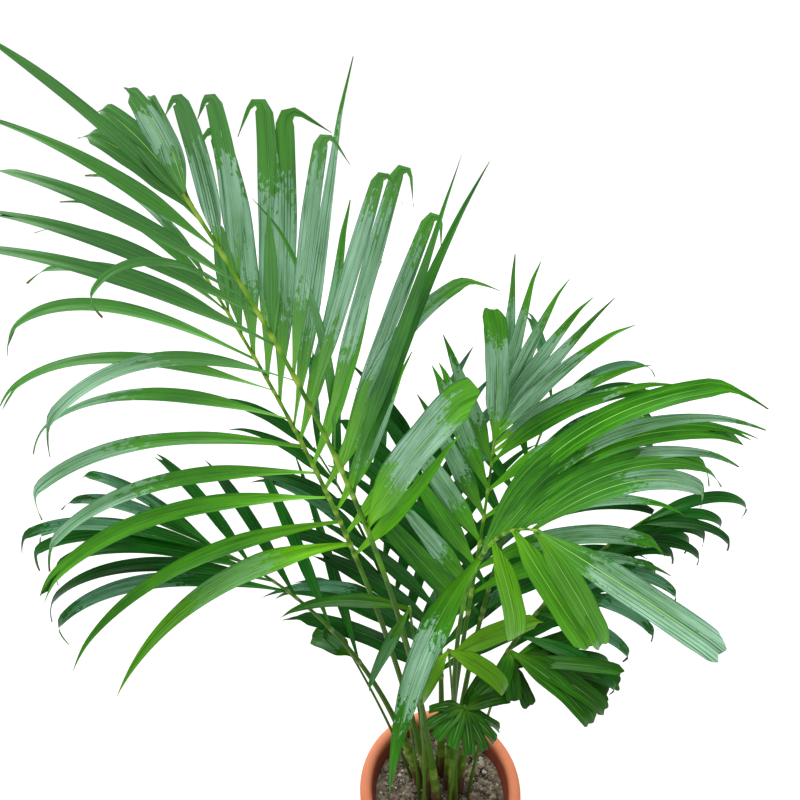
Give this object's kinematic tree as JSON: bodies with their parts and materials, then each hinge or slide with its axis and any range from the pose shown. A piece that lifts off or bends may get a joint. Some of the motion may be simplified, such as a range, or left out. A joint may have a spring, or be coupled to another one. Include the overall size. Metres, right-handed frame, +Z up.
{
  "type": "potted palm",
  "caption": "Clump of golden cane palm with long arching feather fronds and small seedling leaves, growing in soil in a round tapered clay pot with a thick rolled rim.",
  "frame": {"origin": "on the pot's axis, in the plane that the pot stands on", "axes": "+Z up along the pot's axis; -Y towards the plant's front, where the widest fronds face; +X to the front view's right"},
  "size_m": [0.8732, 0.6038, 1.2799],
  "materials": {
    "clay": "matte",
    "soil": "matte",
    "stem": "satin",
    "frond_leaf": "satin",
    "shaded_leaf": "satin",
    "seedling_leaf": "satin"
  },
  "bodies": {
    "root": {"pot": "clay", "soil": "soil", "stem_left": "stem", "frond_left": "frond_leaf", "stem_front_left": "stem", "frond_front_left": "frond_leaf", "stem_low_left": "stem", "frond_low_left": "shaded_leaf", "stem_centre": "stem", "frond_centre": "frond_leaf", "stem_front_right": "stem", "frond_front_right": "frond_leaf", "stem_back": "stem", "frond_back": "shaded_leaf", "stem_right": "stem", "frond_right": "shaded_leaf", "stem_back_right": "stem", "frond_back_right": "shaded_leaf", "stem_back_left": "stem", "frond_back_left": "shaded_leaf", "seedling_fan": "seedling_leaf", "seedling_right": "seedling_leaf", "seedling_forked": "seedling_leaf", "seedling_left": "seedling_leaf", "seedling_small": "seedling_leaf", "seedling_tall": "seedling_leaf"}
  },
  "joints": []
}
